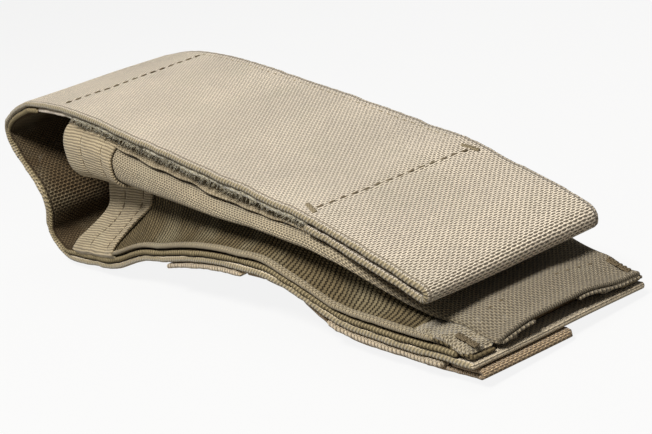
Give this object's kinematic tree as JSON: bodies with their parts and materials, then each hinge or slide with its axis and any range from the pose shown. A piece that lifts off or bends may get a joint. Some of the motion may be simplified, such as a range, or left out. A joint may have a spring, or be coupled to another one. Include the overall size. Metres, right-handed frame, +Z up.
{
  "type": "flashlight pouch",
  "caption": "Webbing belt pouch for a pocket torch: pleated pocket, hook and loop flap over a fold-over crown, attachment rows and strap on the back.",
  "frame": {"origin": "middle of the base, on the surface that the pouch lies on", "axes": "+X from the flap's crown to the sewn bottom end, +Y across the webbing, +Z up out of the back"},
  "size_m": [0.209, 0.0508, 0.0507],
  "materials": {
    "webbing": "coarse nylon webbing, tan",
    "flap_webbing": "coarse nylon webbing, light tan",
    "lining": "nylon webbing, olive brown",
    "row_webbing": "nylon webbing, tan",
    "strap_webbing": "nylon webbing, brown",
    "panel_cloth": "woven nylon cloth, olive tan",
    "binding": "folded nylon binding tape, tan",
    "loop_tape": "looped pile, grey green",
    "hook_tape": "moulded nylon hooks, yellowish tan",
    "thread": "bonded nylon thread, brown"
  },
  "bodies": {
    "back": {"back_webbing": "webbing", "back_lining": "lining", "upper_row": "row_webbing", "lower_row": "row_webbing", "strap_anchor": "strap_webbing", "strap_bartack": "thread", "near_flange": "panel_cloth", "far_flange": "panel_cloth", "near_gusset_lower": "panel_cloth", "far_gusset_lower": "panel_cloth", "near_lower_binding": "binding", "far_lower_binding": "binding", "bottom_hem": "panel_cloth", "near_corner_bartack": "thread", "far_corner_bartack": "thread"},
    "crown": {"crown_webbing": "webbing", "crown_lining": "lining"},
    "flap": {"flap_webbing": "flap_webbing", "flap_lining": "lining", "flap_loop_tape": "loop_tape", "crown_stitch_row": "thread", "hem_stitch_row": "thread", "near_hem_bartack": "thread", "far_hem_bartack": "thread"},
    "front": {"front_panel": "panel_cloth", "mouth_binding": "binding", "hook_tape": "hook_tape", "near_gusset_upper": "panel_cloth", "far_gusset_upper": "panel_cloth", "near_upper_binding": "binding", "far_upper_binding": "binding"},
    "strap": {"molle_strap": "strap_webbing"}
  },
  "joints": [
    {"name": "flap_open", "type": "hinge", "parent": "crown", "child": "flap", "pos_m": [-0.081, 0, 0.0505], "axis": [0, -1, 0], "range_deg": [0, 120]},
    {"name": "crown_fold", "type": "hinge", "parent": "back", "child": "crown", "pos_m": [-0.083, 0, 0], "axis": [0, -1, 0], "range_deg": [0, 45]},
    {"name": "mouth_open", "type": "hinge", "parent": "back", "child": "front", "pos_m": [0.0936, 0, 0.0083], "axis": [0, 1, 0], "range_deg": [0, 8]},
    {"name": "strap_swing", "type": "hinge", "parent": "back", "child": "strap", "pos_m": [0.03, 0, 0.01006], "axis": [0, 1, 0], "range_deg": [0, 75]}
  ],
  "couplings": [
    {"joint": "crown_fold", "follows": "flap_open", "ratio": 0.375},
    {"joint": "mouth_open", "follows": "flap_open", "ratio": 0.066667}
  ]
}
